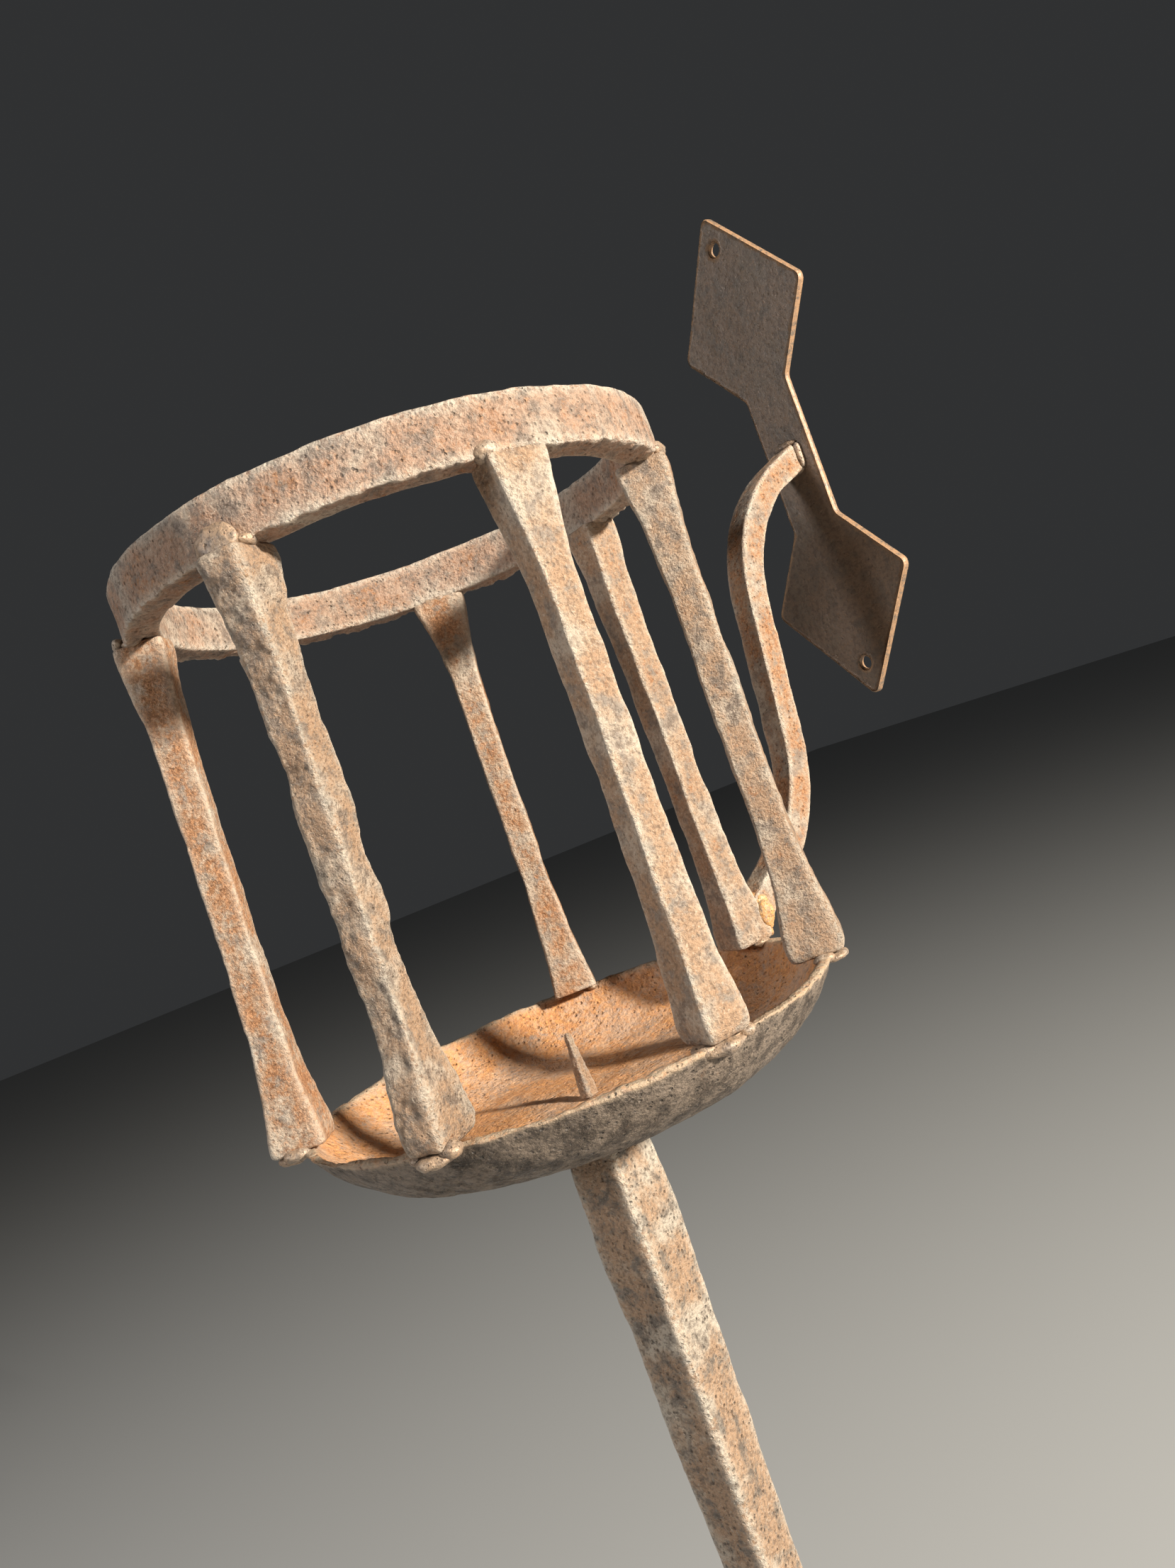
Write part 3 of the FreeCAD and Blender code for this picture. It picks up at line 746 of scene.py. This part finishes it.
# ---------------------------------------------------------------- the wall plate
# Two diamonds joined by a neck, cut from flat sheet, with a nail hole near each tip. It
# is dark brown and smooth, with lighter rust along its cut edges.
PLATE_HALF_WIDTH = 26.5 * MM
PLATE_HALF_NECK = 9.0 * MM
PLATE_CORNER_HEIGHT = 42.5 * MM
NAIL_HOLE_INSET = 10 * MM
NAIL_HOLE_RADIUS = 2 * MM
TIP_ROUNDING = 2.2 * MM
CORNER_ROUNDING = 2.6 * MM
NECK_ROUNDING = 3.0 * MM
PLATE_BEVEL = 0.35 * MM
PLATE_STEP = 1.1 * MM
EDGE_SPACING = 0.75 * MM
HOLE_POINTS = 28
TIP_CUT = 0.28
BORDER_CLEARANCE = 0.6
MERGE_TOLERANCE = 1e-9
PLATE_SEED = 950
PLATE_SKIN = ((30, 0.30), (9, 0.10), (3, 0.045), (1.2, 0.02))


def plate_outline():
    """The plate's edge as x and z, its tips cut blunt and its corners rounded."""
    half_length = (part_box("wall_plate")[1].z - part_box("wall_plate")[0].z) / 2
    slope = (half_length - PLATE_CORNER_HEIGHT) / PLATE_HALF_WIDTH
    neck_end = PLATE_CORNER_HEIGHT - (PLATE_HALF_WIDTH - PLATE_HALF_NECK) * slope
    tip = half_length + TIP_ROUNDING * TIP_CUT
    right = [(0, tip), (PLATE_HALF_WIDTH, PLATE_CORNER_HEIGHT), (PLATE_HALF_NECK, neck_end)]
    radii = [TIP_ROUNDING, CORNER_ROUNDING, NECK_ROUNDING]
    right += [(x, -z) for x, z in reversed(right)]
    radii += radii[::-1]
    corners = right + [(-x, z) for x, z in reversed(right[1:-1])]
    radii += radii[1:-1][::-1]
    return rounded_line(corners, radii, EDGE_SPACING, closed=True), half_length


def shrunk(loop, step):
    """The loop moved inward by the step along its normals."""
    tangent = np.roll(loop, -1, axis=0) - np.roll(loop, 1, axis=0)
    normal = np.stack([-tangent[:, 1], tangent[:, 0]], axis=-1)
    normal /= np.linalg.norm(normal, axis=1, keepdims=True)
    turned = np.sum(loop[:, 0] * np.roll(loop[:, 1], -1) - np.roll(loop[:, 0], -1) * loop[:, 1])
    return loop + normal * step * np.sign(turned)


def plate_piece():
    """Front and back faces of small triangles, joined round the edge and each hole by a bevelled wall."""
    outline, half_length = plate_outline()
    turn = np.linspace(0, 2 * np.pi, HOLE_POINTS, endpoint=False)
    circle = np.stack([np.cos(turn), np.sin(turn)], axis=-1) * NAIL_HOLE_RADIUS
    holes = [circle + (0, side * (half_length - NAIL_HOLE_INSET)) for side in (-1, 1)]
    loops = [outline] + holes
    signs = [1, -1, -1]
    inset = [shrunk(loop, sign * PLATE_BEVEL) for loop, sign in zip(loops, signs)]
    x, z = np.meshgrid(*(np.arange(-size, size, PLATE_STEP) for size in (PLATE_HALF_WIDTH, half_length)))
    filler = np.stack([x.ravel(), z.ravel()], axis=-1)
    border = np.vstack(inset)
    gaps = np.linalg.norm(filler[:, None] - border[None], axis=-1).min(axis=1)
    filler = filler[gaps > BORDER_CLEARANCE * PLATE_STEP]
    flat = np.vstack([border, filler])
    edges, first = [], 0
    for loop in inset:
        count = len(loop)
        edges += [(first + step, first + (step + 1) % count) for step in range(count)]
        first += count
    made = delaunay_2d_cdt([Vector(point) for point in flat.tolist()], edges, [], 0, MERGE_TOLERANCE)
    triangles = np.array(made[2])
    centres = flat[triangles].mean(axis=1)
    inside = inside_loop(centres, inset[0])
    for hole in inset[1:]:
        inside &= ~inside_loop(centres, hole)
    triangles = triangles[inside].tolist()
    front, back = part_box("wall_plate")[0].y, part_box("wall_plate")[1].y
    worn_border = np.concatenate([np.ones(len(border)), np.zeros(len(filler))])
    layers = [(flat, front, worn_border), (np.vstack(loops), front + PLATE_BEVEL, 1)]
    layers += [(np.vstack(loops), back - PLATE_BEVEL, 1), (flat, back, worn_border)]
    points = np.vstack([np.column_stack([p[:, 0], np.full(len(p), y), p[:, 1]]) for p, y, _ in layers])
    starts = np.cumsum([0] + [len(p) for p, _, _ in layers])
    faces = [list(face) for face in triangles] + [[starts[3] + c for c in face[::-1]] for face in triangles]
    for lower, upper in ((0, 1), (1, 2), (2, 3)):
        for a, b in edges:
            faces.append([starts[lower] + b, starts[lower] + a, starts[upper] + a, starts[upper] + b])
    worn = np.concatenate([np.broadcast_to(value, len(p)) for p, _, value in layers])
    lift = layered_noise(points * (1, 0, 1), PLATE_SKIN, PLATE_SEED)
    in_front = points[:, 1] < (front + back) / 2
    points[:, 1] += lift * MM * in_front
    return mesh_piece("cut_plate", points, faces, {"arris": worn})


def inside_loop(points, loop):
    """Whether each point has an odd number of the loop's edges to its right."""
    a, b = loop[None], np.roll(loop, -1, axis=0)[None]
    x, z = points[:, :1], points[:, 1:]
    spans = (a[..., 1] > z) != (b[..., 1] > z)
    rise = np.where(b[..., 1] == a[..., 1], 1, b[..., 1] - a[..., 1])
    crossing = a[..., 0] + (z - a[..., 1]) / rise * (b[..., 0] - a[..., 0])
    return (spans & (x < crossing)).sum(axis=1) % 2 == 1


PLATE_COLOURS = {"Bare": (0.175, 0.135, 0.10), "Grey": (0.145, 0.115, 0.088), "Scale": (0.085, 0.06, 0.045)}
PLATE_COLOURS |= {"Tan": (0.19, 0.135, 0.095), "Orange": (0.27, 0.15, 0.075), "Deep": (0.14, 0.07, 0.035)}
PLATE_COLOURS |= {"Worn": (0.34, 0.20, 0.11)}
PLATE_RELIEF = {"Fineness": 1.0, "Lump": 0.3, "Grain": 0.15, "Pit": 0.12}
plate_skin = iron_skin("plate_iron", 61, PLATE_COLOURS, PLATE_RELIEF, (0.22, 0.35, 0.3), metallic=0.1)
shown(plate_piece(), "wall_plate", plate_skin)

# ---------------------------------------------------------------- the welds
# Lumps of weld metal, run in short dabs along each joint: tan and brown like
# the bars, and orange where the arm meets its bar.
LUMP_ROWS = 30
LUMP_AROUND = 44
LUMP_POLE = 0.12
LUMP_EVEN_SIZE = 2.2 * MM
WELD_SEED = 1000
WELD_SEED_STEP = 17
STEM_DAB_DROP = 0.5 * MM
STEM_DAB_SIZES = (6.6, 1.5, 1.3)
LUMP_SKIN = ((3.2, 0.5), (1.3, 0.26), (0.6, 0.1))
WELD_COLOURS = {"Bare": (0.42, 0.34, 0.265), "Tan": (0.38, 0.26, 0.17), "Grey": (0.29, 0.235, 0.19)}
WELD_COLOURS |= {"Scale": (0.13, 0.09, 0.065), "Worn": (0.42, 0.34, 0.26)}
RUSTY_COLOURS = {"Bare": (0.60, 0.42, 0.20), "Orange": (0.66, 0.34, 0.10), "Deep": (0.42, 0.19, 0.06)}
WELD_RELIEF = {"Fineness": 1.9, "Lump": 0.35, "Grain": 0.14, "Pit": 0.35}
RUSTY_RELIEF = WELD_RELIEF | {"Lump": 0.5}
WELD_SHARES = (0.34, 0.5, 0.8)
RUSTY_SHARES = (0.7, 0.25, 0.5)
WELD_METALLIC = 0.3


def lump_grid(centre, sizes, facing, seed):
    """Ball squashed to three sizes: across, along the facing direction and up, then made uneven."""
    polar = np.linspace(LUMP_POLE, np.pi - LUMP_POLE, LUMP_ROWS)[:, None]
    turn = np.linspace(0, 2 * np.pi, LUMP_AROUND, endpoint=False)[None]
    across, outward = np.sin(polar) * np.cos(turn) * sizes[0], np.sin(polar) * np.sin(turn) * sizes[1]
    rise = np.cos(polar) * sizes[2] + 0 * turn
    spin = math.radians(facing)
    x = centre[0] - across * math.sin(spin) + outward * math.cos(spin)
    y = centre[1] + across * math.cos(spin) + outward * math.sin(spin)
    grid = np.stack([x, y, centre[2] + rise], axis=-1)
    return roughened(grid, LUMP_SKIN, seed, min(sizes) / LUMP_EVEN_SIZE)


def cage_point(axis, radius, azimuth, height, sideways=0):
    """Point about an upright axis, moved sideways along the rim."""
    turn = math.radians(azimuth)
    x = axis[0] + radius * math.cos(turn) - sideways * math.sin(turn)
    return np.array([x, axis[1] + radius * math.sin(turn) + sideways * math.cos(turn), height])


def weld_piece(name, node, lumps, skin):
    """Piece made of lumps, each a centre, three sizes in millimetres and the way it faces."""
    grids = []
    for step, (centre, sizes, facing) in enumerate(lumps):
        seed = WELD_SEED + WELD_SEED_STEP * step + len(name)
        grids.append(lump_grid(centre, [size * MM for size in sizes], facing, seed))
    piece = grids_piece(name, grids, {"arris": [np.zeros((1, 1))] * len(grids)})
    shown(piece, node, skin)


def end_lumps(axis, bar, width, depth, level, dabs):
    """Lumps round a bar's end. A dab is a place over its width and depth, from -1 to 1, a rise and sizes."""
    aside, out = bar[-2] if level == RIM_LEVEL else bar[-1]
    radius = RING_OUTER - BAR_INSET + out * MM
    lumps = []
    for along, across, rise, sizes in dabs:
        side = (aside + along * width / 2) * MM
        centre = cage_point(axis, radius + across * depth / 2 * MM, bar[0], level + rise * MM, side)
        lumps.append((centre, sizes, bar[0]))
    return lumps


# Dabs on each foot, on the rim beside the bar, and on each top, at the ring's
# lower edge. Each row is one bar.
FOOT_DABS = (
    (
        (-0.8, 0.2, -0.5, (2.0, 2.8, 1.2)), (0.8, 0.3, -0.4, (2.0, 2.7, 1.2)),
        (0.0, 0.6, -1.2, (4.8, 2.6, 1.4)),
    ),
    (
        (-0.8, 0.1, -0.9, (1.6, 2.0, 0.9)), (0.85, 0.3, -0.7, (1.5, 2.2, 1.0)),
        (0.3, 0.8, -1.4, (3.6, 1.6, 1.0)),
    ),
    (
        (-0.8, 0.3, -0.5, (2.0, 2.7, 1.2)), (0.8, 0.3, -0.5, (2.0, 2.7, 1.2)),
        (0.0, 0.5, -1.2, (4.8, 2.6, 1.4)),
    ),
    (
        (-0.8, 0.1, -0.7, (1.9, 3.1, 1.1)), (0.8, 0.2, -0.4, (2.2, 3.0, 1.3)),
        (0.1, 0.3, -1.3, (4.6, 4.0, 1.4)),
    ),
    (
        (-0.8, 0.4, -0.6, (1.9, 2.7, 1.2)), (0.85, 0.5, -0.1, (2.0, 2.6, 1.6)),
        (0.1, 0.6, -1.3, (4.2, 3.0, 1.5)),
    ),
    (
        (-0.8, 0.2, -0.7, (2.0, 2.7, 1.2)), (0.8, 0.3, -0.6, (1.9, 2.5, 1.2)),
        (-0.1, 0.4, -1.4, (4.8, 3.2, 1.5)),
    ),
    (
        (-0.8, 0.1, -0.6, (1.7, 2.5, 1.1)), (0.8, 0.2, -0.7, (1.7, 2.6, 1.1)),
        (0.0, 0.4, -1.3, (4.0, 3.2, 1.3)),
    ),
)
TOP_DABS = (
    ((-0.8, 0.1, 0.3, (2.0, 2.5, 1.2)), (0.8, 0.1, 0.3, (2.0, 2.5, 1.2)), (0.0, 0.7, 0.6, (4.8, 1.6, 1.8))),
    (
        (-0.8, 0.1, 0.3, (1.9, 2.3, 1.1)), (0.8, 0.0, 0.3, (1.9, 2.5, 1.2)),
        (0.0, -0.7, 0.2, (5.0, 1.4, 1.2)),
    ),
    ((-0.8, 0.1, 0.3, (2.0, 2.5, 1.2)), (0.8, 0.1, 0.3, (2.0, 2.5, 1.2)), (0.0, 0.7, 0.4, (4.8, 1.6, 1.8))),
    ((-0.8, 0.2, 0.2, (1.9, 2.3, 1.1)), (0.8, 0.2, 0.2, (2.0, 2.5, 1.2)), (0.1, 0.7, 0.8, (4.4, 1.8, 2.0))),
    ((-0.8, 0.2, 0.4, (2.0, 2.7, 1.2)), (0.8, 0.2, 0.4, (2.0, 2.7, 1.2)), (0.0, 0.6, 1.6, (5.0, 1.8, 3.2))),
    ((-0.7, 0.4, 0.8, (2.7, 1.9, 2.2)), (0.7, 0.2, 0.7, (2.5, 1.9, 2.0)), (0.0, 0.3, 2.4, (7.4, 1.1, 4.2))),
    (
        (-0.8, 0.2, 0.4, (2.0, 2.5, 1.4)), (0.8, 0.3, 0.4, (2.0, 2.5, 1.3)),
        (0.1, 0.65, 1.0, (4.6, 1.7, 2.4)),
    ),
)

for number, bar in enumerate(BARS, start=1):
    name, seed = f"weld_{number}_iron", 70 + number
    weld_skin = iron_skin(name, seed, WELD_COLOURS, WELD_RELIEF, WELD_SHARES, WELD_METALLIC)
    foot = end_lumps(PAN_MIDDLE, bar, bar[1], bar[2], RIM_LEVEL, FOOT_DABS[number - 1])
    weld_piece(f"foot_bead_{number}", f"foot_weld_{number}", foot, weld_skin)
    top = end_lumps(RING_MIDDLE, bar, bar[3], bar[4], RING_LEVEL, TOP_DABS[number - 1])
    weld_piece(f"ring_bead_{number}", f"ring_weld_{number}", top, weld_skin)

rusty_colours = WELD_COLOURS | RUSTY_COLOURS
rusty = iron_skin("arm_weld_iron", 90, rusty_colours, RUSTY_RELIEF, RUSTY_SHARES, metallic=0.0)
root = cage_point(PAN_MIDDLE, RING_OUTER, 90, RIM_LEVEL + ARM_ROOT_HEIGHT)
ROOT_DABS = (
    ((-4.4, 2.4, 1.0), (2.0, 2.4, 3.6)),
    ((4.4, 2.4, 0.6), (2.0, 2.4, 3.8)),
    ((0.3, 2.8, 4.6), (3.8, 2.2, 1.9)),
    ((-0.4, 3.0, -4.4), (4.2, 2.4, 1.9)),
    ((2.6, 3.2, 3.6), (2.4, 2.2, 2.0)),
)
lumps = [(root + np.array(offset) * MM, sizes, 90) for offset, sizes in ROOT_DABS]
weld_piece("arm_root_bead", "arm_root_weld", lumps, rusty)

# The plate's and the stem's beads wear the same skin as the last bar's welds
joint = middle("arm_plate_weld")
joint[1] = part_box("wall_plate")[0].y
PLATE_DABS = (
    ((-4.4, -0.3, 0.4), (1.3, 1.6, 4.0)),
    ((4.4, -0.3, -0.2), (1.2, 1.5, 3.8)),
    ((0.2, -0.3, 4.1), (4.2, 1.6, 1.2)),
    ((-0.2, -0.3, -4.1), (4.3, 1.6, 1.2)),
)
lumps = [(joint + np.array(offset) * MM, sizes, 90) for offset, sizes in PLATE_DABS]
weld_piece("plate_bead", "arm_plate_weld", lumps, weld_skin)

collar = middle("stem")
collar[2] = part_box("stem")[1].z
STEM_DABS = ((0, 7.4), (90, 7.2), (180, 7.3))
lumps = []
for side, reach in STEM_DABS:
    centre = cage_point(collar, reach * MM, side + STEM_TURN, collar[2] - STEM_DAB_DROP)
    lumps.append((centre, STEM_DAB_SIZES, side + STEM_TURN))
weld_piece("stem_bead", "stem_weld", lumps, weld_skin)

# ---------------------------------------------------------------- floor, light and camera
# A plain pale floor under the stem's tip, one key light from the upper right,
# a soft fill from the left, and the camera level with the cage.
FLOOR_GAP = 2 * MM
FLOOR_SIDE = 12
FLOOR_PAINT = (0.42, 0.42, 0.41, 1)
FLOOR_ROUGHNESS = 0.9
STUDIO_AIR = (0.60, 0.62, 0.64, 1)
STUDIO_STRENGTH = 0.05
LIT_POINT = Vector((0, -0.14, -0.08))
CAMERA_PLACE = (0.23951, -0.27379, -0.06934)
CAMERA_TURNS = (89.846, 20.239, 55.646)
CAMERA_FOCAL = 27.227
SENSOR_WIDTH = 36
CAMERA_CLIP = 0.01

floor_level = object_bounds()[0].z - FLOOR_GAP
bpy.ops.mesh.primitive_plane_add(size=FLOOR_SIDE, location=(0, 0, floor_level))
floor = bpy.context.object
floor.name = "floor"
floor_paint = bpy.data.materials.new("floor_paint")
floor_paint.use_nodes = True
paint = floor_paint.node_tree.nodes["Principled BSDF"].inputs
paint["Base Color"].default_value = FLOOR_PAINT
paint["Roughness"].default_value = FLOOR_ROUGHNESS
floor.data.materials.append(floor_paint)

world = bpy.data.worlds.new("studio")
world.use_nodes = True
air = world.node_tree.nodes["Background"].inputs
air["Color"].default_value = STUDIO_AIR
air["Strength"].default_value = STUDIO_STRENGTH
bpy.context.scene.world = world
bpy.context.scene.view_settings.view_transform = "Standard"


def studio_light(name, azimuth, elevation, distance, size, power, colour):
    """Square area light that looks at the middle of the cage from an azimuth and an elevation."""
    turn, rise = math.radians(azimuth), math.radians(elevation)
    towards = Vector((math.cos(turn) * math.cos(rise), math.sin(turn) * math.cos(rise), math.sin(rise)))
    lamp = bpy.data.lights.new(name, "AREA")
    lamp.size = size
    lamp.energy = power
    lamp.color = colour
    light = bpy.data.objects.new(name, lamp)
    light.location = LIT_POINT + towards * distance
    light.rotation_euler = towards.to_track_quat("Z", "Y").to_euler()
    bpy.context.scene.collection.objects.link(light)


KEY = {"azimuth": 19.5, "elevation": 16.5, "distance": 1.2, "size": 0.09, "power": 42}
FILL = {"azimuth": 258, "elevation": 22, "distance": 1.2, "size": 0.3, "power": 7}
studio_light("key", **KEY, colour=(1.0, 0.94, 0.84))
studio_light("fill", **FILL, colour=(0.98, 0.98, 1.0))

lens = bpy.data.cameras.new("camera")
lens.sensor_width = SENSOR_WIDTH
lens.lens = CAMERA_FOCAL
lens.clip_start = CAMERA_CLIP
camera = bpy.data.objects.new("camera", lens)
camera.location = CAMERA_PLACE
camera.rotation_euler = [math.radians(angle) for angle in CAMERA_TURNS]
bpy.context.scene.collection.objects.link(camera)
bpy.context.scene.camera = camera
